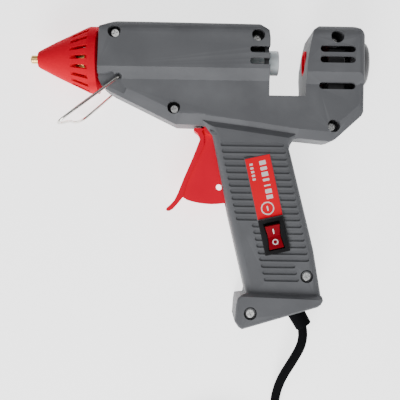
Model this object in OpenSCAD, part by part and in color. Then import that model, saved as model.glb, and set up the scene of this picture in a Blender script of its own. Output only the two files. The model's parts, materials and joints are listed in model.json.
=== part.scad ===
// Hot melt glue gun, corded, lying on its far side. X runs to the rear, Y to the top, Z out of the side
// that carries the rocker switch. Millimetres. z = 0 is the surface the gun lies on.

/* [Casing] */
// Thickness of the walls of the handle
wall = 2.5; // [2:0.1:3]
// Depth of the grip grooves in the handle
groove_depth = 0.8; // [0.4:0.1:1]
// Width of the grip grooves in the handle
groove_w = 2.6; // [2:0.1:3]
// Height of the vent slots
vent_h = 4.1; // [3:0.1:4.4]

/* [Glue path] */
// Radius of the hole that the glue stick runs through
stick_r = 6; // [5.7:0.05:6]
// Radius of the outlet hole of the nozzle
outlet_r = 0.9; // [0.6:0.1:1.2]
// Number of slots in the nozzle shroud
shroud_slots = 20; // [12:2:22]

/* [Stand] */
// Radius of the stand wire
wire_r = 0.9; // [0.7:0.05:0.9]

/* [Cord] */
// Diameter of the mains cord
cord_d = 5.8; // [5:0.1:5.8]

/* [Hidden] */
mid = 20.5;
axis_y = 70.1;
lean = 13;
half_barrel = 20.5;
half_body = 16.5;
half_grip = 17;
eps = 0.02;
pivot = [8.4, 29.7];
hinge = [-48.2, 57.7];
switch_c = [46, -35.6];
boot_in = [62.4, -83.9];
boot_dir = [0.51, -0.86];
cord_r = cord_d / 2;
axle_r = 1;
recess_r = 3.85;
head_r = 3.1;
slot_w = 2.1;
plastic = [0.38, 0.38, 0.4];
red = [0.8, 0.06, 0.1];
black = [0.06, 0.06, 0.06];

// screw seats: x, y, height of the seat above the parting plane
screws = [[-50.7, 84.1, 12], [34.7, 83.4, 5], [81.5, 83.1, 1.5], [-14.9, 40.1, 4], [80.9, 30.7, 4]];
foot_at = [[66, -59.5, 14], [32.5, -81.6, 17.5]];

body_pts = [[-60.5, 57.1], [-59.7, 87.1], [-48.8, 91.2], [35.8, 90.1], [41.2, 86.2], [41.9, 81.4],
    [42, 48], [63.5, 48], [64, 68], [65.7, 79], [67.5, 87], [71.3, 90.1], [91, 90.2], [95.3, 88.3],
    [98.2, 84.1], [98.7, 39.6], [97.6, 37.1], [82.5, 23], [80.6, 21.8], [78.2, 21.3], [61.5, 22.8],
    [59.5, 22.9], [57.2, 22.1], [55.8, 20.5], [40, 20], [20, 22], [8.5, 24], [4.2, 29.5], [0.9, 30],
    [-13.9, 30.3], [-52.7, 48.9], [-57.2, 51.7], [-58.7, 53]];
body_cavity = [[-57.8, 56], [-57.2, 84.8], [-48.3, 88.5], [35, 87.4], [38.6, 84.6], [39.4, 81],
    [39.5, 45.5], [66, 45.5], [66.5, 68], [68.2, 78.6], [69.9, 85.8], [72.3, 87.5], [90.6, 87.6],
    [94, 86], [95.8, 83.3], [96.2, 42], [95, 40], [80.8, 27.4], [77.7, 26], [59.6, 26.6], [50, 26],
    [40, 24], [12, 28], [11, 34], [1, 34.8], [-12.8, 35], [-50.6, 53.2], [-56.4, 54.2]];
grip_pts = [[-1.2, 35.8], [4.2, 29.5], [8.5, 24], [18.6, -23.2], [29.9, -69.3], [28.1, -76.5],
    [72.4, -76.5], [75.1, -71.2], [70.1, -43.4], [55.5, 13.3], [54.6, 16.4], [55.1, 18.7],
    [57.2, 22.1], [61.4, 29.5], [31, 33.3], [8, 37.6]];
grip_cavity = [[11 + wall - 2.5, 34], [8.7 + wall, 24], [18.8 + wall, -23.7], [29.9 + wall, -69.5],
    [29.9 + wall, -75], [70.9 - wall / 2, -75], [74.8 - wall, -71.2], [70.1 - wall, -44],
    [55.4 - wall, 13.3], [55 - wall, 30]];
foot_pts = [[75.1, -71.2], [30.1, -69.9], [26.7, -71], [24.6, -73.1], [24, -76.5], [23.3, -86.6],
    [25.6, -89.9], [27.7, -91.2], [72.2, -77.5], [74.2, -76.1], [75.6, -73.6]];
foot_cavity = [[71.9, -73.6], [71.4, -75], [29.2, -88.2], [26.9, -85.8], [27.4, -76.4], [28.2, -74.2],
    [30.5, -73.2]];
trigger_pts = [[12.6, 33.6], [4.6, 33.6], [3.2, 30.2], [3, 28.6], [-2.2, 28.9], [-2.9, 27.9],
    [-2.4, 26.9], [-0.3, 25.4], [0.8, 23.4], [1, 21.6], [-1.9, 11.4], [-7.5, -1.9], [-10.2, -11.6],
    [-9.4, -13.2], [-6.2, -15.2], [-2.6, -16.2], [1, -16.9], [4.6, -17.3], [8.6, -17.5],
    [12.6, -17.3], [17.4, -16.7], [20.6, -16], [22.4, -8], [18.5, 12], [16, 26]];
trigger_rim = [[3, 28.6], [-2.2, 28.9], [-2.9, 27.9], [-2.4, 26.9], [-0.3, 25.4], [0.8, 23.4],
    [1, 21.6], [-2.8, 11.4], [-8.4, -1.9], [-11.9, -11.1], [-14, -15.4], [-16.3, -18], [-18.7, -20.2],
    [-18.9, -21.3], [-18.2, -22], [-17, -22], [-15.1, -20.8], [-12.2, -17.5], [-9.3, -13.8],
    [-8.8, -12.4], [-6, -3.1], [-0.8, 8.7], [3.5, 18.1], [3.5, 24], [2.2, 26.6]];

coil_c = [11, -196];
coil_r = 33.1;
run_route = [[62.4, -83.9, 20.5], [63.4, -85.6, 20.5], [64.8, -88.4, 20.5], [65.8, -91.4, 20.5],
    [66.4, -94.4, 20.4], [66.6, -97.4, 20.3], [66.4, -100.4, 20], [65.8, -103.4, 19.5], [64.8, -106.4, 18.7],
    [63.4, -109.6, 17.5], [61.4, -114, 15.5], [59.2, -118.6, 13.2], [57, -123.2, 10.8], [55, -128, 8.6],
    [53.4, -133, 6.7], [52.2, -138.4, 5], [51.5, -144.4, 3.8], [51.2, -151, 3.1], [51.4, -160, 2.95],
    [52, -170, 2.95], [52.6, -180, 2.95], [52.8, -188, 2.95]];
tail_route = [[3, -238.4, 8.7], [-6, -238.8, 8.4], [-16, -239.2, 7.9], [-27, -239.5, 7.4],
    [-38, -239.7, 7.1], [-50, -239.8, 6.9], [-63, -239.8, 6.9]];
plug_at = [-63, -239.8, 6.9];

function unit(v) = v / norm(v);
function course(p, i) =
    i == 0 ? unit(p[1] - p[0])
    : i == len(p) - 1 ? unit(p[i] - p[i - 1])
    : unit(unit(p[i + 1] - p[i]) + unit(p[i] - p[i - 1]));
function ring(p, i, r, n, up) =
    let (t = course(p, i), a = unit(cross(t, up)), b = cross(a, t))
    [for (k = [0 : n - 1]) p[i] + r * (a * cos(360 * k / n) + b * sin(360 * k / n))];
function tube_points(p, r, n, up) = [for (i = [0 : len(p) - 1]) each ring(p, i, r, n, up)];
function tube_faces(m, n) = concat(
    [[for (k = [n - 1 : -1 : 0]) k]],
    [[for (k = [0 : n - 1]) (m - 1) * n + k]],
    [for (i = [0 : m - 2]) for (k = [0 : n - 1])
        [i * n + k, i * n + (k + 1) % n, (i + 1) * n + (k + 1) % n]],
    [for (i = [0 : m - 2]) for (k = [0 : n - 1]) [i * n + k, (i + 1) * n + (k + 1) % n, (i + 1) * n + k]]);
function helix(r, pitch, turns, steps) =
    [for (i = [0 : turns * steps]) [r * cos(360 * i / steps), r * sin(360 * i / steps), pitch * i / steps]];

// outline moved inwards by d
function inset(p, d) = let (n = len(p)) [for (i = [0 : n - 1])
    let (e = unit(p[i] - p[(i + n - 1) % n]), f = unit(p[(i + 1) % n] - p[i]))
    p[i] + d * ([-e[1], e[0]] + [-f[1], f[0]]) / (1 + e * f)];

// a round tube along a route
module tube(route, r, n = 8, up = [0, 0, 1]) {
    polyhedron(points = tube_points(route, r, n, up), faces = tube_faces(len(route), n), convexity = 10);
}

// a coil spring along Z, with flat end rings
module spring(r, wire, length, turns) {
    pitch = (length - 2 * wire) / turns;
    translate([0, 0, wire])
        tube(helix(r, pitch, turns, 14), wire, 6, [0, 0, 1]);
}

// puts the Z axis of its children on the barrel axis, starting at x
module on_barrel(x) {
    translate([x, axis_y, mid])
        rotate([0, 90, 0])
        children();
}

// a ring round the barrel axis
module barrel_ring(x, length, r_out, r_in) {
    on_barrel(x)
        difference() {
            cylinder(h = length, r = r_out, $fn = 64);
            translate([0, 0, -1])
                cylinder(h = length + 2, r = r_in, $fn = 64);
        }
}

// a frame on the handle: local X across it, local Y up along it, local Z from the parting plane
module on_grip(c) {
    translate([c[0], c[1], mid])
        rotate([0, 0, lean])
        children();
}

// takes a sloping strip off both sides of a slab along p to q; the slab lies on the left of p to q
module edge_slope(p, q, top, inset, drop, over = 2) {
    slope = drop / inset;
    for (s = [-1, 1])
        translate([p[0], p[1], mid])
        rotate([0, 0, atan2(q[1] - p[1], q[0] - p[0])])
        scale([1, 1, s])
        translate([-over, 0, 0])
        rotate([90, 0, 90])
        linear_extrude(norm(q - p) + 2 * over)
        polygon([[inset, top], [-6, top - drop - 6 * slope], [-6, top + 5], [inset, top + 5]]);
}

// rounds both long edges of a slab along p to q; the slab lies on the left of p to q
module edge_round(p, q, top, r, over = [1, 1]) {
    for (s = [-1, 1])
        translate([p[0], p[1], mid])
        rotate([0, 0, atan2(q[1] - p[1], q[0] - p[0])])
        scale([1, 1, s])
        translate([-over[0], 0, 0])
        rotate([90, 0, 90])
        linear_extrude(norm(q - p) + over[0] + over[1])
        polygon(concat([[-3, top - r]], [for (k = [0 : 5]) [r - r * cos(18 * k), top - r + r * sin(18 * k)]],
            [[r, top + 3], [-3, top + 3]]));
}

// slab about the parting plane whose outline is pts, with both rims rounded and both sides cut flat
module rounded_slab(pts, half, r, steps) {
    flat = 0.05;
    top = half + flat;
    up = concat([for (k = [0 : steps]) [top - r + r * sin(90 * k / steps), r - r * cos(90 * k / steps)]],
        [[top + 2, r]]);
    m = 2 * len(up);
    levels = concat([for (k = [len(up) - 1 : -1 : 0]) [-up[k][0], up[k][1]]], up);
    n = len(pts);
    points = [for (l = levels) each [for (q = inset(pts, l[1])) [q[0], q[1], mid + l[0]]]];
    faces = concat(
        [[for (k = [0 : n - 1]) k]],
        [[for (k = [n - 1 : -1 : 0]) (m - 1) * n + k]],
        [for (i = [0 : m - 2]) for (k = [0 : n - 1])
            [i * n + k, (i + 1) * n + k, (i + 1) * n + (k + 1) % n, i * n + (k + 1) % n]]);
    difference() {
        polyhedron(points = points, faces = faces, convexity = 10);
        for (z = [mid + half, mid - half - 5])
            translate([-20, -110, z])
            cube([120, 160, 5]);
    }
}

// outside cross-section of the barrel and body, drawn as Y and Z
module body_section(y_band, top_y) {
    r = 7;
    corner = [for (k = [0 : 6]) [top_y - r + r * sin(15 * k), half_barrel - r + r * cos(15 * k)]];
    side = concat([[15, half_body], [y_band - 6.8, half_body], [y_band, half_barrel]], corner);
    polygon(concat(side, [for (k = [len(side) - 1 : -1 : 0]) [side[k][0], -side[k][1]]]));
}

// inside cross-section of the barrel and body
module cavity_section() {
    polygon([[15, -12.6], [60, -12.6], [65, -17.6], [84, -17.6], [88.6, -13], [88.6, 13], [84, 17.6],
        [65, 17.6], [60, 12.6], [15, 12.6]]);
}

module along_x(x0, x1) {
    translate([x0, 0, mid])
        rotate([90, 0, 90])
        linear_extrude(x1 - x0)
        children();
}

module body_solid() {
    difference() {
        intersection() {
            linear_extrude(2 * mid)
                polygon(body_pts);
            union() {
                along_x(-61, 52)
                    body_section(63.3, 91.2);
                along_x(51, 99)
                    body_section(61.9, 90.2);
            }
        }
        edge_slope([-58.7, 51.8], [-13.9, 30.3], half_body, 6.5, 3.2);
        edge_slope([-13.9, 30.3], [0.8, 30.1], half_body, 6.3, 3.1, 3);
        edge_slope([0.8, 33], [30.7, 29.3], half_body, 3.2, 1.6, 2);
        edge_slope([30.7, 29.3], [60.5, 25.1], half_body, 3.2, 1.6, 1);
        edge_slope([60.5, 23], [78.5, 21.5], half_body, 5.4, 2.7, 1);
        edge_slope([78.4, 20.1], [97.6, 37.1], half_body, 6, 2.9, 3);
        edge_round([98.7, 39.6], [98.2, 84.1], half_barrel, 4, [8, 8]);
        edge_round([98.7, 20], [98.7, 55], half_body, 3);
    }
}

module grip_solid() {
    difference() {
        rounded_slab(grip_pts, half_grip, 4.5, 5);
        edge_slope([60.5, 25.1], [30.7, 29.3], half_grip, 3.2, 2.1, 2);
        edge_slope([30.7, 29.3], [0.8, 33], half_grip, 3.2, 2.1, 4);
    }
}

module foot_solid() {
    difference() {
        rounded_slab(foot_pts, half_barrel, 1.7, 4);
        edge_slope([75.1, -71.2], [30.1, -69.9], half_barrel, 1.8, 3.5, 6);
        // the far half leans in at the front of its upper edge
        translate([15, -70.6, mid])
            rotate([-9, 0, 0])
            translate([0, 0, -30])
            cube([19, 20, 30]);
    }
}

module cavities() {
    intersection() {
        linear_extrude(2 * mid)
            polygon(body_cavity);
        along_x(-60, 98)
            cavity_section();
    }
    translate([0, 0, mid - 13.8])
        linear_extrude(27.6)
        polygon(grip_cavity);
    translate([0, 0, mid - 17.6])
        linear_extrude(35.2)
        polygon(foot_cavity);
}

// posts for the screws, rings round the trigger pin and plates that carry the inside parts
module posts() {
    for (s = concat(screws, foot_at))
        translate([s[0], s[1], 0])
        cylinder(h = 2 * mid, r = 4.7, $fn = 48);
    for (z = [0, mid + 7.8])
        translate([pivot[0], pivot[1], z])
        cylinder(h = mid - 7.8, r = 5, $fn = 48);
    // plates that hold the two rings of the melting chamber
    for (x = [-43, -4])
        difference() {
            translate([x + 0.1, 60, 1])
                cube([2.8, 29, 2 * mid - 2]);
            on_barrel(x - 1)
                cylinder(h = 6, r = 12.5, $fn = 64);
        }
    // posts under the cord clamp
    translate([boot_in[0], boot_in[1], 1])
        rotate([0, 0, atan2(-boot_dir[1], -boot_dir[0])])
        for (y = [-5.8, 5.8])
            translate([17.7, y, 0])
            cylinder(h = mid - 1.1, r = 2.5, $fn = 32);
    // seat of the return spring
    translate([42, 27, mid - 14])
        cube([2.5, 10, 28]);
}

// round-ended slot from x0 to x1 at height y
module slot_shape(x0, x1, y, r) {
    polygon(concat([for (a = [90 : 22.5 : 270]) [x0 + r * cos(a), y + r * sin(a)]],
        [for (a = [-90 : 22.5 : 90]) [x1 + r * cos(a), y + r * sin(a)]]));
}

// grip grooves as seen from the side
module groove_shape() {
    for (k = [0 : 20]) {
        x0 = k < 12 ? 14.6 + 0.9 * k : k < 18 ? 34.1 + 0.94 * (k - 12) : 39.9 + 0.95 * (k - 18);
        x1 = k < 18 ? 50 + 0.93 * k : 57.7 + 1.15 * (k - 18);
        slot_shape(x0, x1, 18.5 - 4 * k, groove_w / 2);
    }
}

module vent_shape() {
    r = vent_h / 2;
    for (v = [[29.9, 45, 74.7], [29.9, 45, 67.8], [71.4, 92.3, 75.7], [71.4, 92.3, 69.4],
        [71.5, 93.2, 54.4]])
        slot_shape(v[0] + r, v[1] - r, v[2], r);
}

// everything that is cut through both halves of the casing
module openings() {
    on_barrel(-62)
        cylinder(h = 6, r = 14.3, $fn = 64);
    on_barrel(38)
        cylinder(h = 6, r = 7.75, $fn = 64);
    on_barrel(62)
        cylinder(h = 6, r = 7.7, $fn = 64);
    on_barrel(67)
        cylinder(h = 3, r = 9.7, $fn = 64);
    on_barrel(95)
        cylinder(h = 5, r = 10.1, $fn = 64);
    // slot for the trigger
    translate([0, 0, mid - 7.6])
        linear_extrude(15.2)
        polygon([[1.8, 38], [1.8, 20], [-10, -18.6], [24, -18.6], [26, 30], [18, 38]]);
    // hole for the trigger pin
    translate([pivot[0], pivot[1], mid - 13])
        cylinder(h = 26, r = 2.02, $fn = 32);
    // holes and side recesses for the stand
    translate([hinge[0], hinge[1], -1])
        cylinder(h = 2 * mid + 2, r = 1, $fn = 24);
    for (z = [-10, mid + 14.4])
        translate([0, 0, z])
        linear_extrude(16.1)
        polygon([[-66, 40], [-66, 59.3], [-56.2, 59.6], [-51.6, 60.6], [-43.4, 50.6], [-47, 44], [-50, 38]]);
    for (z = [-10, mid + 14.4])
        translate([hinge[0], hinge[1], z])
        cylinder(h = 16.1, r = 2.2, $fn = 32);
    // hole for the boot of the cord
    translate([boot_in[0], boot_in[1], mid])
        rotate([0, 0, atan2(boot_dir[1], boot_dir[0])])
        rotate([0, 90, 0]) {
            translate([0, 0, -9])
                cylinder(h = 14, r = 4.1, $fn = 48);
            translate([0, 0, -4.95])
                cylinder(h = 10, r = 5.55, $fn = 48);
        }
    // vents
    translate([0, 0, mid + 12])
        linear_extrude(mid - 11)
        vent_shape();
}

module casing() {
    difference() {
        union() {
            body_solid();
            grip_solid();
            foot_solid();
        }
        difference() {
            cavities();
            posts();
        }
        openings();
    }
}

module casing_left() {
    color(plastic)
    difference() {
        intersection() {
            casing();
            translate([-120, -120, mid])
                cube([240, 240, 40]);
        }
        for (s = concat(screws, foot_at)) {
            translate([s[0], s[1], mid + s[2]])
                linear_extrude(30)
                polygon([for (a = [5 : 10 : 355]) recess_r * [cos(a), sin(a)]]);
            translate([s[0], s[1], mid - 1])
                cylinder(h = 30, r = 1.6, $fn = 32);
        }
        // opening for the switch
        on_grip(switch_c)
            translate([-6.55, -9.55, 5])
            cube([13.1, 19.1, 20]);
        difference() {
            translate([0, 0, mid + half_grip - groove_depth])
                linear_extrude(5)
                groove_shape();
            on_grip([39.5, -6.9])
                translate([-8, -19.2, 0])
                cube([16, 38.4, 30]);
        }
    }
}

module casing_right() {
    color(plastic)
    difference() {
        intersection() {
            casing();
            translate([-120, -120, mid - 40])
                cube([240, 240, 40]);
        }
        for (s = screws)
            translate([s[0], s[1], mid - 11.6])
            cylinder(h = 20, r = 1.3, $fn = 32);
        for (s = foot_at)
            translate([s[0], s[1], mid - 12.5])
            cylinder(h = 20, r = 1.3, $fn = 32);
        translate([0, 0, mid - half_grip - 5 + groove_depth])
            linear_extrude(5)
            groove_shape();
        translate([boot_in[0], boot_in[1], mid - 8])
            rotate([0, 0, atan2(-boot_dir[1], -boot_dir[0])])
            for (y = [-5.8, 5.8])
                translate([17.7, y, 0])
                cylinder(h = 10, r = 1.25, $fn = 32);
    }
}

// slotted plastic cone round the nozzle
module nozzle_shroud() {
    color(red)
    difference() {
        on_barrel(-103.9)
            rotate_extrude($fn = 96)
            polygon([[2.75, 4.6], [4.6, 4.6], [5.5, 5.8], [10.6, 15.8], [20.1, 36.2], [20.4, 37.4],
                [20.4, 42],
                [16.4, 43.2], [14, 43.3], [14, 46.8], [15.2, 46.8], [15.2, 48.4], [12.4, 48.4], [12.4, 41.5],
                [17.4, 39.5], [17.4, 37.6], [8.2, 18], [3.4, 9], [2.75, 8]]);
        for (a = [0 : shroud_slots - 1])
            translate([-103.9, axis_y, mid])
            rotate([360 * (a + 0.22) / shroud_slots, 0, 0])
            translate([27.6, 0, 0])
            rotate([0, 25.3, 0])
            translate([-12.6, -slot_w / 2, 13.4])
            cube([12.6, slot_w, 12]);
    }
}

module nozzle() {
    color([0.8, 0.62, 0.28])
    difference() {
        union() {
            on_barrel(-103.9)
                rotate_extrude($fn = 64)
                polygon([[0, 0], [2, 0], [2.6, 0.7], [2.6, 8.8], [3.2, 9.6], [5.5, 17], [5.5, 34], [4.5, 34],
                    [4.5, 60], [4, 60], [4, 66.8], [0, 66.8]]);
            on_barrel(-70)
                rotate([0, 0, 30])
                cylinder(h = 7, r = 8, $fn = 6);
        }
        on_barrel(-104)
            cylinder(h = 40, r = outlet_r, $fn = 32);
        on_barrel(-66)
            cylinder(h = 30, r = 2.5, $fn = 32);
    }
}

module check_ball() {
    color([0.7, 0.7, 0.72])
    translate([-38.45, axis_y, mid])
        sphere(r = 2.1, $fn = 32);
}

module ball_spring() {
    color([0.7, 0.7, 0.72])
    on_barrel(-65.9)
        spring(1.9, 0.25, 25.4, 10);
}

module melt_chamber() {
    color([0.75, 0.76, 0.78])
    difference() {
        union() {
            on_barrel(-44)
                cylinder(h = 48, r = 9, $fn = 64);
            on_barrel(3)
                cylinder(h = 9, r = 7, $fn = 64);
            translate([-38, 52.6, mid - 7])
                cube([28, 14, 14]);
        }
        on_barrel(-45)
            cylinder(h = 7.9, r = 4.03, $fn = 48);
        on_barrel(-38)
            cylinder(h = 8, r = 1.6, $fn = 32);
        on_barrel(-32)
            cylinder(h = 46, r = stick_r, $fn = 64);
        translate([-35.5, 54.6, mid - 8])
            cube([23, 3.6, 16]);
    }
}

module heater() {
    color([0.85, 0.85, 0.82])
    translate([-35.4, 54.65, mid - 7])
        cube([22.8, 3.5, 14]);
}

module heater_clip() {
    color([0.7, 0.7, 0.72])
    difference() {
        translate([-30, 52, mid - 7.65])
            cube([12, 9, 15.3]);
        translate([-31, 52.57, mid - 7.03])
            cube([14, 9, 14.06]);
    }
}

module chamber_insulation() {
    color([0.85, 0.84, 0.78])
    difference() {
        barrel_ring(-39.5, 35, 11.4, 9.05);
        translate([-50, 50, mid - 8])
            cube([60, 16.5, 16]);
    }
}

module support_rings() {
    color([0.85, 0.84, 0.78])
    for (x = [-43, -4])
        barrel_ring(x, 3, 12.4, 9.02);
}

module inlet_sleeve() {
    color([0.88, 0.89, 0.9])
    on_barrel(4.1)
        rotate_extrude($fn = 64)
        polygon([[7.03, 0], [8.6, 0], [8.6, 8.6], [7.6, 10], [7.6, 44], [7.2, 44.4], [stick_r, 44.4],
            [stick_r, 8], [7.03, 7.95]]);
}

module sleeve_clamp() {
    color([0.7, 0.7, 0.72])
    difference() {
        union() {
            barrel_ring(6, 4, 9.3, 8.62);
            translate([6, 79, mid - 1.5])
                cube([4, 3.4, 3]);
        }
        translate([5, 78, mid - 0.4])
            cube([6, 6, 0.8]);
    }
}

module thermal_fuse() {
    color([0.8, 0.8, 0.75])
    translate([-6, 54, mid + 8.7])
        rotate([0, 90, 0]) {
            cylinder(h = 9, r = 1.8, $fn = 32);
            translate([0, 0, -3.5])
                cylinder(h = 16, r = 0.5, $fn = 24);
        }
}

module feed_carriage() {
    color([0.2, 0.2, 0.22])
    difference() {
        union() {
            // fork that takes the pin of the trigger
            translate([8, 50, mid - 6])
                cube([28, 7, 12]);
            translate([28, 37.5, mid - 6])
                cube([8, 19.5, 12]);
            // bar under the gap
            translate([28, 37.5, mid - 4])
                cube([60, 5, 8]);
            // lug for the return spring
            translate([72, 28.6, mid - 4])
                cube([3, 10, 8]);
            // yoke round the glue stick
            translate([78, 37.5, mid - 9])
                cube([10, 40.4, 18]);
        }
        translate([7, 49, mid - 3.4])
            cube([11.5, 9, 6.8]);
        // slots for the pin
        translate([10.6, 50.8, mid - 8])
            cube([4.8, 8, 16]);
        on_barrel(76)
            cylinder(h = 14, r = stick_r + 0.2, $fn = 64);
        // window for the jaw
        translate([77, 48, mid - 3.2])
            cube([12, 18, 6.4]);
    }
}

module grip_jaw() {
    color([0.7, 0.7, 0.72])
    difference() {
        translate([0, 0, mid - 3])
            linear_extrude(6)
            polygon([[80, 49], [86, 49], [86.5, 60], [83, 64.2], [82.4, 63.2], [81.6, 63.9], [81, 62.9],
                [80.2, 63.4], [79.5, 61]]);
        translate([83, 52, mid - 4])
            cylinder(h = 8, r = 1.5, $fn = 32);
    }
}

module jaw_pin() {
    color([0.7, 0.7, 0.72])
    translate([83, 52, mid - 3.2])
        cylinder(h = 6.4, r = 1.45, $fn = 32);
}

module trigger() {
    arm_len = 26.3;
    color(red)
    difference() {
        union() {
            translate([0, 0, mid - 5])
                linear_extrude(10)
                polygon(trigger_pts);
            translate([0, 0, mid - 6.8])
                linear_extrude(13.6)
                polygon(trigger_rim);
            translate([pivot[0], pivot[1], mid - 7.2])
                cylinder(h = 14.4, r = 5, $fn = 48);
            // arm that drives the carriage
            translate([pivot[0], pivot[1], mid - 3])
                rotate([0, 0, -10])
                translate([-3.4, 0, 0])
                cube([6.8, arm_len + 3.2, 6]);
            translate([pivot[0] + arm_len * sin(10), pivot[1] + arm_len * cos(10), mid - 5.8])
                cylinder(h = 11.6, r = 2, $fn = 32);
        }
        translate([pivot[0], pivot[1], mid - 8])
            cylinder(h = 16, r = 2.05, $fn = 32);
        translate([13.2, -7, mid - 8])
            cylinder(h = 16, r = 1.85, $fn = 32);
    }
}

module trigger_pin() {
    color([0.7, 0.7, 0.72])
    translate([pivot[0], pivot[1], mid - 12.8])
        cylinder(h = 25.6, r = 2, $fn = 32);
}

module return_spring() {
    color([0.7, 0.7, 0.72])
    translate([44.55, 32.6, mid])
        rotate([0, 90, 0])
        spring(2.8, 0.4, 27.4, 9);
}

module inlet_collar() {
    color([0.45, 0.45, 0.46])
    on_barrel(94.4)
        rotate_extrude($fn = 96)
        polygon([[stick_r + 0.9, 0], [11.4, 0], [11.4, 1.3], [10, 1.3], [10, 4.35], [13, 4.35],
            [13.3, 4.7], [13.3, 6], [12.8, 7.2], [11.4, 8.1], [9.8, 8.5], [8, 8.6], [7.2, 8.4],
            [stick_r + 0.5, 7.6], [stick_r + 0.5, 4.8], [stick_r + 0.9, 4.5]]);
}

module guide_bush() {
    color(red)
    on_barrel(63.9)
        rotate_extrude($fn = 64)
        polygon([[stick_r, 0.5], [6.5, 0], [7.6, 0], [7.6, 3.4], [9.4, 3.4], [9.4, 4.6], [6.5, 4.6],
            [stick_r, 4.1]]);
}

// bent wire that the gun stands on
module stand_wire() {
    near = [[-48.2, 57.7, 31], [-48.2, 57.7, 35], [-48.5, 57.5, 35.8], [-49.2, 56.9, 36.2],
        [-54, 53.2, 36.5],
        [-66, 43.8, 37.5], [-78, 34.4, 38.6], [-80.6, 32.4, 38.4], [-82.6, 30.8, 37.4], [-83.6, 30, 35.6]];
    foot = [[-83.9, 29.9, 33], [-82.9, 30.5, 28], [-80.6, 31.9, 23], [-79.3, 32.6, 18], [-78.8, 32.6, 13],
        [-77.4, 33.2, 8], [-75.8, 34.1, 5.2], [-74.2, 35.3, 3.2], [-72.4, 36.8, 2.3]];
    far = [[-70, 38.8, 2.4], [-62, 45.6, 3.4], [-54, 52.6, 4.5], [-49.2, 56.9, 4.8], [-48.5, 57.5, 5.2],
        [-48.2, 57.7, 6], [-48.2, 57.7, 10]];
    color([0.75, 0.76, 0.78])
    tube(concat(near, foot, far), wire_r, 10, unit([0.62, -0.78, 0]));
}

module switch_body() {
    color(black)
    on_grip(switch_c)
        difference() {
            union() {
                translate([-7.5, -10.5, half_grip])
                    cube([15, 21, 2]);
                translate([-6.4, -9.4, -1])
                    cube([12.8, 18.8, 18.5]);
            }
            translate([0, 0, 5])
                linear_extrude(20)
                polygon([[-4.85, -8.2], [4.85, -8.2], [3.95, 0], [4.85, 8.2], [-4.85, 8.2], [-3.95, 0]]);
            // bearings of the axle
            translate([-5.2, 0, half_grip])
                rotate([0, 90, 0])
                cylinder(h = 10.4, r = axle_r + 0.05, $fn = 32);
        }
}

module switch_rocker() {
    color([0.6, 0.1, 0.1])
    on_grip(switch_c)
        translate([0, 0, half_grip]) {
            intersection() {
                rotate([12, 0, 0])
                    rotate([90, 0, 90])
                    translate([0, 0, -5])
                    linear_extrude(10)
                    polygon([[7.25, 3.05], [0, 1.5], [-7.25, 3.05], [-6.8, -0.5], [-3, -3], [3, -3],
                        [6.8, -0.5]]);
                translate([0, 0, -10])
                    linear_extrude(20)
                    polygon([[-4.5, -8], [4.5, -8], [3.6, 0], [4.5, 8], [-4.5, 8], [-3.6, 0]]);
            }
            // axle
            translate([-4.9, 0, 0])
                rotate([0, 90, 0])
                cylinder(h = 9.8, r = axle_r, $fn = 32);
        }
}

module switch_terminals() {
    color([0.75, 0.7, 0.6])
    on_grip(switch_c)
        for (y = [-6, 0, 6])
            translate([-3.15, y - 0.4, -9])
            cube([6.3, 0.8, 8]);
}

module label_plate() {
    color(red)
    on_grip([39.5, -6.9])
        translate([-7.5, -18.15, half_grip])
        cube([15, 36.8, 0.4]);
}

// one cross-head screw, seat of the head at z = 0, thread downwards
module screw(length) {
    difference() {
        union() {
            translate([0, 0, -length])
                cylinder(h = length + 0.5, r = 1.25, $fn = 32);
            cylinder(h = 1.3, r = head_r, $fn = 48);
            translate([0, 0, 1.3])
                cylinder(h = 0.9, r1 = head_r, r2 = head_r - 0.9, $fn = 48);
        }
        for (a = [20, 110])
            rotate([0, 0, a])
            translate([-1.7, -0.4, 0.9])
            cube([3.4, 0.8, 3]);
    }
}

module case_screws() {
    color([0.7, 0.7, 0.72])
    for (s = screws)
        translate([s[0], s[1], mid + s[2]])
        screw(s[2] + 9);
}

module foot_screws() {
    color([0.7, 0.7, 0.72])
    for (s = foot_at)
        translate([s[0], s[1], mid + s[2]])
        screw(26);
}

module terminal_block() {
    color([0.85, 0.84, 0.78])
    on_grip([50, -57])
        difference() {
            translate([-7, -4, -13])
                cube([14, 8, 9]);
            for (x = [-3.5, 3.5])
                translate([x, 0, -8]) {
                    rotate([90, 0, 0])
                        translate([0, 0, -5])
                        cylinder(h = 10, r = 1.6, $fn = 32);
                    cylinder(h = 6, r = 1.5, $fn = 32);
                }
        }
}

// bar that holds the cord, across its run inside the foot
module cord_clamp() {
    color(black)
    translate([boot_in[0], boot_in[1], mid])
        rotate([0, 0, atan2(-boot_dir[1], -boot_dir[0])])
        difference() {
            translate([15.2, -8, 0.2])
                cube([5, 16, 5.4]);
            translate([0, 0, 0])
                rotate([0, 90, 0])
                cylinder(h = 30, r = 2.93, $fn = 32);
            for (y = [-5.8, 5.8])
                translate([17.7, y, -1])
                cylinder(h = 10, r = 1.3, $fn = 24);
        }
}

module clamp_screws() {
    color([0.7, 0.7, 0.72])
    translate([boot_in[0], boot_in[1], mid])
        rotate([0, 0, atan2(-boot_dir[1], -boot_dir[0])])
        for (y = [-5.8, 5.8])
            translate([17.7, y, 5.62])
            difference() {
                union() {
                    translate([0, 0, -9])
                        cylinder(h = 9.2, r = 1.2, $fn = 24);
                    cylinder(h = 1.8, r = 2.2, $fn = 32);
                }
                translate([-1.5, -0.3, 1])
                    cube([3, 0.6, 2]);
            }
}

// brown core of the cord, from the end of its sheath to the terminal block
module core_live() {
    color([0.35, 0.2, 0.12])
    tube([[49.89, -65.16, 20.5], [49.6, -64.6, 20.2], [49, -64, 18.6], [48.2, -63.4, 16],
        [47.6, -62.9, 13.7], [47.5, -61.8, 12.7], [47.1, -60, 12.5]],
        1, 8, [0.86, 0.51, 0]);
}

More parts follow.
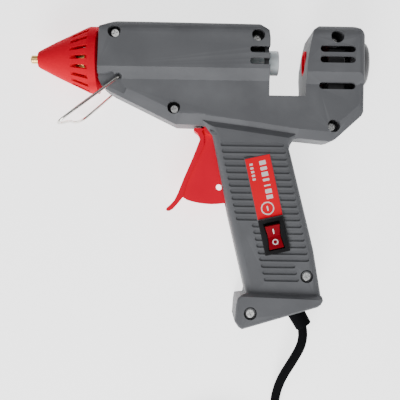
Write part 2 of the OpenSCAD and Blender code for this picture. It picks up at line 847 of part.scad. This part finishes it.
// blue core of the cord, from the end of its sheath to the terminal block
module core_neutral() {
    color([0.1, 0.2, 0.5])
    tube([[51.96, -63.94, 20.5], [51.9, -63.3, 20.2], [52.3, -62.6, 18.6], [53.2, -61.9, 16],
        [54.1, -61.3, 13.6], [54.3, -60.3, 12.7], [53.9, -58.6, 12.5]],
        1, 8, [0.86, 0.51, 0]);
}

module live_lead() {
    color([0.35, 0.2, 0.12])
    tube([[46.1, -55.8, 12.5], [45.4, -53, 12], [45.4, -49.5, 10.8], [46.2, -45.5, 10.1],
        [47.2, -41.6, 10.1]],
        1, 8);
}

module neutral_lead() {
    color([0.1, 0.2, 0.5])
    tube([[53, -54.3, 12.5], [52.8, -51.5, 12.4], [54.4, -46, 11.6], [53.6, -36, 11], [50.5, -25, 10.6],
        [45, -9, 10.4], [38, 6, 10.2], [30, 22, 10], [22, 34, 9.8], [10, 43, 9.8], [-1, 48.4, 10],
        [-7, 50.4, 10.6], [-10.4, 52.6, 11.6], [-11.8, 55, 12.2]], 1, 8);
}

module heater_lead() {
    color([0.75, 0.74, 0.7])
    tube([[46, -35, 10.2], [44.8, -29.6, 10.1], [43.4, -23.6, 11.6], [42, -17, 15], [40.4, -10, 19],
        [36.6, 2, 25], [31, 14, 29.8], [24, 30, 31.2], [16, 43, 31], [10.4, 50, 30.2], [8, 54, 29.3]],
        1, 8);
}

module cord_boot() {
    color(black)
    translate([boot_in[0], boot_in[1], mid])
        rotate([0, 0, atan2(boot_dir[1], boot_dir[0])])
        rotate([0, 90, 0])
        rotate_extrude($fn = 64)
        polygon([[cord_r + 0.1, -14.9], [5.2, -14.9], [5.2, -7.7], [4.05, -7.7], [4.05, -4.9], [5.5, -4.9],
            [5.05, 8.7], [4.7, 9.1], [4.15, 9.1], [cord_r + 0.1, 1.5]]);
}

// sheathed end of the cord between the boot and the clamp
module cord_inner() {
    color(black)
    translate([boot_in[0], boot_in[1], mid])
        rotate([0, 0, atan2(boot_dir[1], boot_dir[0])])
        rotate([0, 90, 0])
        translate([0, 0, -22.5])
        cylinder(h = 22.5, r = cord_r, $fn = 32);
}

module cord_run() {
    color(black)
    tube(run_route, cord_r, 10);
}

// the rest of the cord, wound in a flat bundle of turns
module cord_coil() {
    color(black)
    translate([coil_c[0], coil_c[1], 0])
        rotate_extrude($fn = 96) {
            for (i = [-1 : 1], k = [0, 1])
                translate([coil_r + i * cord_d * 0.98, cord_r + k * cord_d * 0.98])
                circle(r = cord_r, $fn = 24);
            translate([coil_r - cord_d * 0.98, cord_r])
                square(cord_d * [1.96, 0.98]);
        }
}

module cord_tail() {
    color(black)
    tube(tail_route, cord_r, 10);
}

// cable tie pulled round the bundle
module cord_tie() {
    color(black)
    translate([coil_c[0] - coil_r, coil_c[1] + 2, 0])
        rotate([90, 0, 0])
        linear_extrude(4)
        difference() {
            polygon([[-8.4, 0.02], [8.4, 0.02], [9.6, 1.2], [9.6, 11], [8, 12.4], [-8, 12.4], [-9.6, 11],
                [-9.6, 1.2]]);
            polygon([[-8, 0.9], [8, 0.9], [8.7, 1.6], [8.7, 10.6], [7.6, 11.5], [-7.6, 11.5], [-8.7, 10.6],
                [-8.7, 1.6]]);
        }
}

module plug_body() {
    color(black)
    translate(plug_at)
        rotate([0, 0, 180])
        difference() {
            union() {
                rotate([0, 90, 0])
                    cylinder(h = 13, r1 = 3.6, r2 = 4.8, $fn = 48);
                intersection() {
                    translate([0, 0, -6.85])
                        linear_extrude(13.7)
                        polygon([[12, -5], [18, -9.2], [30, -17.2], [43, -17.6], [46, -16.4], [46, 16.4],
                            [43, 17.6], [30, 17.2], [18, 9.2], [12, 5]]);
                    translate([11, 0, 0])
                        rotate([90, 0, 90])
                        linear_extrude(36)
                        polygon([[-17.6, -3.6], [-13.4, -6.85], [13.4, -6.85], [17.6, -3.6], [17.6, 3.6],
                            [13.4, 6.85], [-13.4, 6.85], [-17.6, 3.6]]);
                }
            }
            for (y = [-9.5, 9.5])
                translate([38, y, 0])
                rotate([0, 90, 0])
                cylinder(h = 10, r = 1.7, $fn = 32);
        }
}

module plug_pins() {
    color([0.75, 0.75, 0.78])
    translate(plug_at)
        rotate([0, 0, 180])
        for (y = [-9.5, 9.5])
            translate([38, y, 0])
            rotate([0, 90, 0]) {
                cylinder(h = 8.5, r = 1.7, $fn = 48);
                translate([0, 0, 8])
                    cylinder(h = 18, r = 2, $fn = 48);
                translate([0, 0, 26])
                    cylinder(h = 1, r1 = 2, r2 = 1.2, $fn = 48);
            }
}

casing_left();
casing_right();
nozzle_shroud();
nozzle();
check_ball();
ball_spring();
melt_chamber();
heater();
heater_clip();
chamber_insulation();
support_rings();
inlet_sleeve();
sleeve_clamp();
thermal_fuse();
feed_carriage();
grip_jaw();
jaw_pin();
trigger();
trigger_pin();
return_spring();
inlet_collar();
guide_bush();
stand_wire();
switch_body();
switch_rocker();
switch_terminals();
label_plate();
case_screws();
foot_screws();
terminal_block();
cord_clamp();
clamp_screws();
core_live();
core_neutral();
live_lead();
neutral_lead();
heater_lead();
cord_boot();
cord_inner();
cord_run();
cord_coil();
cord_tail();
cord_tie();
plug_body();
plug_pins();
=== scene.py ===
import json
import math
import bpy
import bmesh
from mathutils import Matrix, Vector


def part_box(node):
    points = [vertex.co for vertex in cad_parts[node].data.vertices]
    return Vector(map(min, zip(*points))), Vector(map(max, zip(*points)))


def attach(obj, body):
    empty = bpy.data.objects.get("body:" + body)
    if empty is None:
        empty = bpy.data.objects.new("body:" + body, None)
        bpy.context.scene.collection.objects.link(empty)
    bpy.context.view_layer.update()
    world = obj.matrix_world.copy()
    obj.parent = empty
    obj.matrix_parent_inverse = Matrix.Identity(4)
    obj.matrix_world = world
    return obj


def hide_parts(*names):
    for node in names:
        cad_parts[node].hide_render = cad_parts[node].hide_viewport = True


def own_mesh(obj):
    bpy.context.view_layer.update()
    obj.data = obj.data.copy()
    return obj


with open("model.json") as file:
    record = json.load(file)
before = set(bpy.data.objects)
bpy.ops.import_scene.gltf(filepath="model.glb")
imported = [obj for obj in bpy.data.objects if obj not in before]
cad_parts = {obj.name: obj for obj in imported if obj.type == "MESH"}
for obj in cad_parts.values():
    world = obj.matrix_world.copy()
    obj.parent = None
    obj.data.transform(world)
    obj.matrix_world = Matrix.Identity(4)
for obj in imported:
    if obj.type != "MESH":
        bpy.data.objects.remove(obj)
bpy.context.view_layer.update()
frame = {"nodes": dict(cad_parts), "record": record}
nodes = frame["nodes"]
record = frame["record"]


def mm(*v):
    """Millimetres as a vector in metres."""
    return Vector([a / 1000 for a in v])


# ---------------------------------------------------------------- camera
CAM_LENS, CAM_SENSOR, CAM_NEAR = 65.53, 36, 0.01
CAM_AT = (1.7, -15.0, 470.5)
CAM_ROLL = 0.95
cam_data = bpy.data.cameras.new("camera")
cam_data.lens = CAM_LENS
cam_data.sensor_width = CAM_SENSOR
cam_data.clip_start = CAM_NEAR
cam = bpy.data.objects.new("camera", cam_data)
cam.location = mm(*CAM_AT)
cam.rotation_euler = (0, 0, math.radians(CAM_ROLL))
bpy.context.scene.collection.objects.link(cam)
bpy.context.scene.camera = cam

# ---------------------------------------------------------------- cord
CORD_D = 0.0058  # m
# centre lines of the run from the boot and of the tail to the plug, in mm
RUN = [(62.4, -83.9, 20.5), (63.4, -85.6, 20.5), (64.8, -88.4, 20.5), (65.8, -91.4, 20.5),
       (66.4, -94.4, 20.4), (66.6, -97.4, 20.3), (66.4, -100.4, 20), (65.8, -103.4, 19.5),
       (64.8, -106.4, 18.7), (63.4, -109.6, 17.5), (61.4, -114, 15.5), (59.2, -118.6, 13.2),
       (57, -123.2, 10.8), (55, -128, 8.6), (53.4, -133, 6.7), (52.2, -138.4, 5),
       (51.5, -144.4, 3.8), (51.2, -151, 3.1), (51.4, -160, 2.95), (52, -170, 2.95),
       (52.6, -180, 2.95), (52.8, -188, 2.95)]
TAIL = [(3, -238.4, 8.7), (-6, -238.8, 8.4), (-16, -239.2, 7.9), (-27, -239.5, 7.4),
        (-38, -239.7, 7.1), (-50, -239.8, 6.9), (-63, -239.8, 6.9)]
# coil: three turns inward on the floor, a short rise, then the turns on top of them going out
COIL_C = (11.0, -196.0)
COIL_TURNS, COIL_STEPS = 6.25, 36
COIL_OUTER, COIL_INNER, COIL_PITCH = 41.8, 24.4, 5.8
LOWER_Z, RISE, UPPER_Z = 2.95, 5.82, 8.77
RISE_FROM, RISE_TO = 1080, 1140  # degrees along the coil


def coil_points():
    pts = []
    for i in range(int(COIL_TURNS * COIL_STEPS) + 1):
        a = 360 * i / COIL_STEPS
        if a <= RISE_FROM:
            r = COIL_OUTER - COIL_PITCH * a / 360
            z = LOWER_Z
        elif a <= RISE_TO:
            t = (a - RISE_FROM) / (RISE_TO - RISE_FROM)
            r = COIL_INNER
            z = LOWER_Z + RISE * t * t * (3 - 2 * t)
        else:
            r = COIL_INNER + COIL_PITCH * (a - RISE_TO) / 360
            z = UPPER_Z
        b = math.radians(-a)
        pts.append((COIL_C[0] + r * math.cos(b), COIL_C[1] + r * math.sin(b), z))
    return pts


def curve_tube(name, pts, radius, resolution):
    """Round tube along points in mm; its radius is in metres."""
    data = bpy.data.curves.new(name, "CURVE")
    data.dimensions = "3D"
    data.bevel_depth = radius
    data.bevel_resolution = resolution
    data.use_fill_caps = True
    sp = data.splines.new("POLY")
    sp.points.add(len(pts) - 1)
    for p, q in zip(sp.points, pts):
        p.co = (q[0] / 1000, q[1] / 1000, q[2] / 1000, 1)
    sp.use_smooth = True
    ob = bpy.data.objects.new(name, data)
    bpy.context.scene.collection.objects.link(ob)
    return ob


cord_pts = RUN + coil_points() + TAIL


def as_mesh(ob):
    """The same tube as a mesh object."""
    dg = bpy.context.evaluated_depsgraph_get()
    me = bpy.data.meshes.new_from_object(ob.evaluated_get(dg))
    name = ob.name
    bpy.data.objects.remove(ob)
    for poly in me.polygons:
        poly.use_smooth = True
    new = bpy.data.objects.new(name, me)
    bpy.context.scene.collection.objects.link(new)
    return new


cord = as_mesh(curve_tube("mains_cord", cord_pts, CORD_D / 2, 6))
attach(cord, "housing")
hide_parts("cord_run", "cord_coil", "cord_tail")


# ---------------------------------------------------------------- materials
BUMP_DISTANCE = 0.0002  # m
NOISE_LOW, NOISE_HIGH = 0.3, 0.7  # the part of the noise's range that is used


def node(nt, kind, x=0, y=0, **values):
    n = nt.nodes.new(kind)
    n.location = (x, y)
    for k, v in values.items():
        setattr(n, k, v)
    return n


def stuff(name, color, rough, metal=0.0, grain=900, bump=0.08, mottle=0.06, wear=None,
          wear_amount=0.35, sheen=0.0, spread=0.07, scratches=0.0, ior=1.5, see=0.0, spec=0.5):
    """Procedural surface: mottled colour, uneven roughness, grain, worn edges, scratches."""
    m = bpy.data.materials.new(name)
    m.use_nodes = True
    nt = m.node_tree
    nt.nodes.clear()
    out = node(nt, "ShaderNodeOutputMaterial", 900)
    b = node(nt, "ShaderNodeBsdfPrincipled", 600)
    nt.links.new(b.outputs[0], out.inputs[0])
    b.inputs["Metallic"].default_value = metal
    b.inputs["IOR"].default_value = ior
    b.inputs["Specular IOR Level"].default_value = spec
    b.inputs["Sheen Weight"].default_value = sheen
    b.inputs["Subsurface Weight"].default_value = see
    b.inputs["Subsurface Radius"].default_value = (0.004, 0.003, 0.003)
    b.inputs["Subsurface Scale"].default_value = 1.0
    tc = node(nt, "ShaderNodeTexCoord", -1100)
    broad = node(nt, "ShaderNodeTexNoise", -850, 250)
    broad.inputs["Scale"].default_value = 45
    broad.inputs["Detail"].default_value = 4
    fine = node(nt, "ShaderNodeTexNoise", -850, -50)
    fine.inputs["Scale"].default_value = grain
    fine.inputs["Detail"].default_value = 3
    for t in (broad, fine):
        nt.links.new(tc.outputs["Object"], t.inputs["Vector"])
    ramp = node(nt, "ShaderNodeMapRange", -600, 250)
    ramp.inputs["From Min"].default_value = NOISE_LOW
    ramp.inputs["From Max"].default_value = NOISE_HIGH
    nt.links.new(broad.outputs["Fac"], ramp.inputs["Value"])
    mix = node(nt, "ShaderNodeMix", -350, 250, data_type="RGBA")
    mix.inputs[6].default_value = [c * (1 - mottle) for c in color] + [1]
    mix.inputs[7].default_value = [min(1, c * (1 + mottle)) for c in color] + [1]
    nt.links.new(ramp.outputs[0], mix.inputs[0])
    last = mix.outputs[2]
    if wear:
        geo = node(nt, "ShaderNodeNewGeometry", -850, 550)
        edge = node(nt, "ShaderNodeMapRange", -600, 550)
        edge.inputs["From Min"].default_value = 0.515
        edge.inputs["From Max"].default_value = 0.60
        edge.inputs["To Max"].default_value = wear_amount
        nt.links.new(geo.outputs["Pointiness"], edge.inputs["Value"])
        patch = node(nt, "ShaderNodeMath", -350, 550, operation="MULTIPLY")
        nt.links.new(edge.outputs[0], patch.inputs[0])
        nt.links.new(ramp.outputs[0], patch.inputs[1])
        mix2 = node(nt, "ShaderNodeMix", -100, 350, data_type="RGBA")
        mix2.inputs[7].default_value = list(wear) + [1]
        nt.links.new(patch.outputs[0], mix2.inputs[0])
        nt.links.new(last, mix2.inputs[6])
        last = mix2.outputs[2]
    nt.links.new(last, b.inputs["Base Color"])
    rr = node(nt, "ShaderNodeMapRange", 100, -50)
    rr.inputs["From Min"].default_value = NOISE_LOW
    rr.inputs["From Max"].default_value = NOISE_HIGH
    rr.inputs["To Min"].default_value = max(0.03, rough - spread)
    rr.inputs["To Max"].default_value = min(1, rough + spread)
    add = node(nt, "ShaderNodeMix", -100, -50, data_type="FLOAT")
    add.inputs[0].default_value = 0.5
    nt.links.new(broad.outputs["Fac"], add.inputs[2])
    nt.links.new(fine.outputs["Fac"], add.inputs[3])
    nt.links.new(add.outputs[0], rr.inputs["Value"])
    nt.links.new(rr.outputs[0], b.inputs["Roughness"])
    bp = node(nt, "ShaderNodeBump", 350, -300)
    bp.inputs["Strength"].default_value = bump
    bp.inputs["Distance"].default_value = BUMP_DISTANCE
    height = fine.outputs["Fac"]
    if scratches:
        wave = node(nt, "ShaderNodeTexNoise", -850, -350)
        wave.inputs["Scale"].default_value = 120
        wave.inputs["Detail"].default_value = 6
        mp = node(nt, "ShaderNodeMapping", -1000, -350)
        mp.inputs["Scale"].default_value = (0.12, 5, 5)
        nt.links.new(tc.outputs["Object"], mp.inputs["Vector"])
        nt.links.new(mp.outputs[0], wave.inputs["Vector"])
        sm = node(nt, "ShaderNodeMix", -100, -350, data_type="FLOAT")
        sm.inputs[0].default_value = scratches
        nt.links.new(fine.outputs["Fac"], sm.inputs[2])
        nt.links.new(wave.outputs["Fac"], sm.inputs[3])
        height = sm.outputs[0]
    nt.links.new(height, bp.inputs["Height"])
    nt.links.new(bp.outputs[0], b.inputs["Normal"])
    return m


M = {
    "casing": stuff("grey_plastic", (0.125, 0.128, 0.136), 0.58, grain=1500, bump=0.22,
                    mottle=0.05, wear=(0.20, 0.205, 0.215), wear_amount=0.4, spec=0.12),
    "shroud": stuff("red_shroud_plastic", (0.70, 0.0015, 0.022), 0.46, grain=1200, bump=0.12,
                    mottle=0.05, wear=(0.80, 0.02, 0.035), wear_amount=0.3, spec=0.1, ior=1.15),
    "brass": stuff("turned_brass", (0.78, 0.53, 0.20), 0.28, metal=1.0, grain=1800, bump=0.10,
                   mottle=0.10, scratches=0.7, spread=0.1),
    "steel": stuff("bright_steel", (0.86, 0.86, 0.85), 0.42, metal=1.0, grain=1600, bump=0.12,
                   mottle=0.08, scratches=0.6, spread=0.1),
    "wire": stuff("drawn_wire", (0.72, 0.70, 0.66), 0.22, metal=1.0, grain=1400, bump=0.08,
                  mottle=0.12, scratches=0.8, spread=0.1),
    "aluminium": stuff("cast_aluminium", (0.62, 0.62, 0.62), 0.42, metal=1.0, grain=700, bump=0.35,
                       mottle=0.12),
    "ceramic": stuff("white_ceramic", (0.72, 0.71, 0.66), 0.5, grain=1300, bump=0.2, mottle=0.05),
    "fibre": stuff("glass_fibre", (0.66, 0.63, 0.52), 0.85, grain=500, bump=0.7, mottle=0.12,
                   sheen=0.3),
    "silicone": stuff("white_silicone", (0.70, 0.76, 0.78), 0.42, grain=1100, bump=0.1,
                      mottle=0.04, see=0.15),
    "carriage": stuff("dark_plastic", (0.035, 0.035, 0.038), 0.45, grain=1200, bump=0.15,
                      mottle=0.08, wear=(0.09, 0.09, 0.09)),
    "trigger": stuff("red_trigger_plastic", (0.80, 0.0015, 0.030), 0.40, grain=1100, bump=0.08,
                     mottle=0.05, wear=(0.86, 0.02, 0.04), wear_amount=0.3, spec=0.08, ior=1.15),
    "collar": stuff("grey_collar_plastic", (0.16, 0.16, 0.165), 0.5, grain=1200, bump=0.2,
                    mottle=0.06, wear=(0.3, 0.3, 0.3)),
    "switch": stuff("black_switch_plastic", (0.008, 0.008, 0.009), 0.33, grain=1300, bump=0.08,
                    mottle=0.1, wear=(0.05, 0.05, 0.05), spec=0.25),
    "rocker": stuff("dark_red_rocker", (0.22, 0.003, 0.010), 0.36, grain=1000, bump=0.06,
                    mottle=0.06, wear=(0.42, 0.05, 0.05), spec=0.1, ior=1.2),
    "label": stuff("red_foil", (0.86, 0.003, 0.022), 0.5, grain=2200, bump=0.05, mottle=0.03,
                   spec=0.08, ior=1.15),
    "block": stuff("off_white_plastic", (0.66, 0.64, 0.56), 0.45, grain=1000, bump=0.1,
                   mottle=0.04),
    "lead_brown": stuff("brown_insulation", (0.12, 0.04, 0.015), 0.5, grain=900, bump=0.15,
                        mottle=0.06),
    "lead_blue": stuff("blue_insulation", (0.015, 0.05, 0.24), 0.5, grain=900, bump=0.15,
                       mottle=0.06),
    "lead_sleeved": stuff("glass_sleeve", (0.58, 0.55, 0.46), 0.8, grain=1500, bump=0.6,
                          mottle=0.1),
    "cord": stuff("black_cord", (0.006, 0.006, 0.007), 0.6, grain=1400, bump=0.2, mottle=0.12,
                  wear=(0.04, 0.04, 0.04), wear_amount=0.2, spec=0.05, ior=1.15),
    "plated": stuff("plated_pin", (0.74, 0.73, 0.70), 0.22, metal=1.0, grain=1500, bump=0.06,
                    mottle=0.08, scratches=0.5),
    "print": stuff("white_print", (0.78, 0.76, 0.74), 0.5, grain=2000, bump=0.08, mottle=0.05),
}


def crisp_group(degrees):
    """Smooth shading, kept sharp along every edge that turns more than the given angle."""
    g = bpy.data.node_groups.new("crisp_%d" % degrees, "GeometryNodeTree")
    g.interface.new_socket("Geometry", in_out="INPUT", socket_type="NodeSocketGeometry")
    g.interface.new_socket("Geometry", in_out="OUTPUT", socket_type="NodeSocketGeometry")
    gin = g.nodes.new("NodeGroupInput")
    gout = g.nodes.new("NodeGroupOutput")
    faces = g.nodes.new("GeometryNodeSetShadeSmooth")
    faces.domain = "FACE"
    edges = g.nodes.new("GeometryNodeSetShadeSmooth")
    edges.domain = "EDGE"
    edges.inputs["Shade Smooth"].default_value = False
    angle = g.nodes.new("GeometryNodeInputMeshEdgeAngle")
    more = g.nodes.new("FunctionNodeCompare")
    more.data_type = "FLOAT"
    more.operation = "GREATER_THAN"
    more.inputs[1].default_value = math.radians(degrees)
    g.links.new(gin.outputs[0], faces.inputs["Geometry"])
    g.links.new(faces.outputs[0], edges.inputs["Geometry"])
    g.links.new(angle.outputs[0], more.inputs[0])
    g.links.new(more.outputs[0], edges.inputs["Selection"])
    g.links.new(edges.outputs[0], gout.inputs[0])
    return g


CRISP_ANGLE, FLAT_ANGLE, BEVEL_ANGLE = 21, 0.6, 38  # degrees
WELD_DISTANCE = 0.000002  # m
CRISP = crisp_group(CRISP_ANGLE)

slot_of = {s["node"]: s["material_slot"] for s in record["subparts"]}
cord.data.materials.append(M["cord"])

# rounded edges of the carried-over nodes: width in mm
EDGE = {"casing_left": 0.55, "casing_right": 0.55, "trigger": 0.6, "nozzle_shroud": 0.25,
        "inlet_collar": 0.3, "switch_body": 0.35, "switch_rocker": 0.3, "plug_body": 0.8,
        "feed_carriage": 0.5, "cord_boot": 0.35, "label_plate": 0.08, "inlet_sleeve": 0.25,
        "guide_bush": 0.3, "terminal_block": 0.4, "nozzle": 0.15, "melt_chamber": 0.5,
        "case_screws": 0.12, "foot_screws": 0.12, "heater": 0.2, "heater_clip": 0.1,
        "grip_jaw": 0.2, "cord_clamp": 0.4, "plug_pins": 0.15, "cord_tie": 0.15,
        "sleeve_clamp": 0.1}
for name, ob in nodes.items():
    if name in ("cord_run", "cord_coil", "cord_tail"):
        continue
    ob.data.materials.clear()
    ob.data.materials.append(M[slot_of[name]])
    for poly in ob.data.polygons:
        poly.use_smooth = True
    w = ob.modifiers.new("weld", "WELD")
    w.merge_threshold = WELD_DISTANCE
    if name in EDGE:
        d = ob.modifiers.new("planar", "DECIMATE")
        d.decimate_type = "DISSOLVE"
        d.angle_limit = math.radians(FLAT_ANGLE)
        bv = ob.modifiers.new("edges", "BEVEL")
        bv.width = EDGE[name] / 1000
        bv.segments = 3
        bv.limit_method = "ANGLE"
        bv.angle_limit = math.radians(BEVEL_ANGLE)
        bv.use_clamp_overlap = True
        bv.harden_normals = False
    c = ob.modifiers.new("crisp", "NODES")
    c.node_group = CRISP
    n = ob.modifiers.new("normals", "WEIGHTED_NORMAL")
    n.keep_sharp = True
    n.weight = 50


# ---------------------------------------------------------------- small pieces
HANDLE_LEAN = 13  # degrees


def mesh_piece(name, body, mat, build):
    """New piece whose mesh build() makes, on a body and in a material slot."""
    me = bpy.data.meshes.new(name)
    bm = bmesh.new()
    build(bm)
    bmesh.ops.recalc_face_normals(bm, faces=bm.faces)
    bm.to_mesh(me)
    bm.free()
    ob = bpy.data.objects.new(name, me)
    bpy.context.scene.collection.objects.link(ob)
    me.materials.append(mat)
    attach(ob, body)
    return ob


def place(x, y, z, tilt_x=0.0):
    """Frame on the handle: X across it, Y up along it, Z out of the flat side."""
    return (Matrix.Translation(mm(x, y, z)) @ Matrix.Rotation(math.radians(HANDLE_LEAN), 4, "Z")
            @ Matrix.Rotation(math.radians(tilt_x), 4, "X"))


def pad(bm, mat, cx, cy, w, h, t, r=0.35, steps=5):
    """Flat rounded block with a small slope round its top."""
    rings = []
    for z, grow in ((0, 0), (t * 0.6, 0), (t, -0.08)):
        ring = []
        for qx, qy, a0 in ((1, 1, 0), (-1, 1, 90), (-1, -1, 180), (1, -1, 270)):
            for k in range(steps + 1):
                a = math.radians(a0 + 90 * k / steps)
                x = cx + qx * (w / 2 - r) + (r + grow) * math.cos(a)
                y = cy + qy * (h / 2 - r) + (r + grow) * math.sin(a)
                ring.append(bm.verts.new(mat @ mm(x, y, z)))
        rings.append(ring)
    for a, b in zip(rings, rings[1:]):
        for i in range(len(a)):
            j = (i + 1) % len(a)
            bm.faces.new((a[i], a[j], b[j], b[i]))
    bm.faces.new(rings[0][::-1])
    bm.faces.new(rings[-1])


def hoop(bm, mat, cx, cy, r, w, t, steps=32):
    """Flat ring."""
    rings = []
    for k in range(steps):
        a = 2 * math.pi * k / steps
        ring = []
        for rad, z in ((r - w / 2, 0), (r + w / 2, 0), (r + w / 2, t * 0.7), (r + w / 3, t),
                       (r - w / 3, t), (r - w / 2, t * 0.7)):
            x = cx + rad * math.cos(a)
            y = cy + rad * math.sin(a)
            ring.append(bm.verts.new(mat @ mm(x, y, z)))
        rings.append(ring)
    for i in range(steps):
        a, b = rings[i], rings[(i + 1) % steps]
        for k in range(6):
            j = (k + 1) % 6
            bm.faces.new((a[k], a[j], b[j], b[k]))


# print of the label: a column of wide bars, a column of small ones, and a ring round a bar
LABEL_SINK = 0.01
LABEL_AT = (39.5, -6.9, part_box("label_plate")[1].z * 1000 - LABEL_SINK)
PRINT_T = 0.05
BAR_X, BAR_TOP, BAR_STEP, BAR_W = 2.3, 14.6, 3.45, 3.9
BAR_H = (2.5, 2.0, 2.6, 1.5, 0.9, 2.5, 2.3)
DASH_X, DASH_TOP, DASH_STEP, DASH_W, DASH_H, DASHES = -4.6, 14.8, 2.25, 1.9, 1.3, 5
RING_X, RING_Y = -0.4, -12.6


def label_print(bm):
    m = place(*LABEL_AT)
    for i, h in enumerate(BAR_H):
        pad(bm, m, BAR_X, BAR_TOP - BAR_STEP * i, BAR_W, h, PRINT_T, r=0.3)
    for i in range(DASHES):
        pad(bm, m, DASH_X, DASH_TOP - DASH_STEP * i, DASH_W, DASH_H, PRINT_T, r=0.25)
    hoop(bm, m, RING_X, RING_Y, 3.6, 0.7, PRINT_T)
    pad(bm, m, RING_X, RING_Y, 0.9, 3.0, PRINT_T, r=0.4)


mesh_piece("label_print", "housing", M["print"], label_print)

# marks of the rocker, placed from the switch's centre; its top has a valley and one sloping half
SWITCH_AT = (46, -35.6, 20.5)
VALLEY_Y, VALLEY_Z = -0.31, 18.47
SLOPE = 24.07  # degrees
LINE_ALONG, RING_OUT = 3.5, -3.6


def on_rocker(y, z, tilt_x):
    """Frame at a point of the rocker's top."""
    c = Matrix.Rotation(math.radians(HANDLE_LEAN), 4, "Z") @ mm(0, y, z)
    return place(SWITCH_AT[0] + c.x * 1000, SWITCH_AT[1] + c.y * 1000,
                 SWITCH_AT[2] + c.z * 1000, tilt_x)


def rocker_line(bm):
    y = VALLEY_Y + LINE_ALONG * math.cos(math.radians(SLOPE))
    z = VALLEY_Z + LINE_ALONG * math.sin(math.radians(SLOPE))
    pad(bm, on_rocker(y, z, SLOPE), 0, 0, 0.75, 3.4, 0.06, r=0.3)


def rocker_ring(bm):
    hoop(bm, on_rocker(RING_OUT, VALLEY_Z, 0), 0, 0, 1.45, 0.6, 0.07)


mesh_piece("rocker_line", "rocker", M["print"], rocker_line)
mesh_piece("rocker_ring", "rocker", M["print"], rocker_ring)

# return spring, built at one length on the housing; on the gun the carriage presses it together as
# it moves forward
SPRING_AT = (44.55, 32.6, 20.5)
SPRING_R, SPRING_WIRE, SPRING_LEN = 2.8, 0.4, 27.4  # SPRING_WIRE: radius of the wire
SPRING_TURNS, SPRING_STEPS = 9, 24
spring_pts = []
for k in range(SPRING_TURNS * SPRING_STEPS + 1):
    a = 2 * math.pi * k / SPRING_STEPS
    along = SPRING_WIRE + (SPRING_LEN - 2 * SPRING_WIRE) * k / (SPRING_TURNS * SPRING_STEPS)
    spring_pts.append((SPRING_AT[0] + along, SPRING_AT[1] + SPRING_R * math.sin(a),
                       SPRING_AT[2] - SPRING_R * math.cos(a)))
spring = as_mesh(curve_tube("return_spring_wire", spring_pts, SPRING_WIRE / 1000, 3))
spring.data.materials.append(M["steel"])
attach(spring, "housing")
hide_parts("return_spring")
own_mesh(spring)

# ---------------------------------------------------------------- stage
FLOOR_HALF, FLOOR_Z = 3, -0.0001
floor_me = bpy.data.meshes.new("floor")
floor_me.from_pydata([(x * FLOOR_HALF, y * FLOOR_HALF, FLOOR_Z)
                      for x, y in ((-1, -1), (1, -1), (1, 1), (-1, 1))], [], [(0, 1, 2, 3)])
floor = bpy.data.objects.new("floor", floor_me)
bpy.context.scene.collection.objects.link(floor)
fm = bpy.data.materials.new("floor_paper")
fm.use_nodes = True
fb = fm.node_tree.nodes["Principled BSDF"]
fb.inputs["Base Color"].default_value = (0.93, 0.93, 0.93, 1)
fb.inputs["Roughness"].default_value = 0.9
fb.inputs["Specular IOR Level"].default_value = 0.1
fb.inputs["Emission Color"].default_value = (1, 1, 1, 1)
fb.inputs["Emission Strength"].default_value = 2.0
floor_me.materials.append(fm)


def area(name, loc, size, power):
    """Square area light, turned to the origin."""
    d = bpy.data.lights.new(name, "AREA")
    d.shape = "SQUARE"
    d.size = size
    d.energy = power
    o = bpy.data.objects.new(name, d)
    o.location = loc
    o.rotation_euler = (-Vector(loc)).to_track_quat("-Z", "Y").to_euler()
    bpy.context.scene.collection.objects.link(o)
    return o


key = area("key", (-0.12, -0.74, 0.55), 0.5, 10.5)
top = area("top", (-0.3, 0.2, 0.95), 0.9, 2.9)
fill = area("fill", (0.7, 0.35, 0.45), 0.5, 0.6)
world = bpy.data.worlds.new("world")
world.use_nodes = True
world.node_tree.nodes["Background"].inputs[0].default_value = (0.9, 0.92, 0.95, 1)
world.node_tree.nodes["Background"].inputs[1].default_value = 0.16
bpy.context.scene.world = world
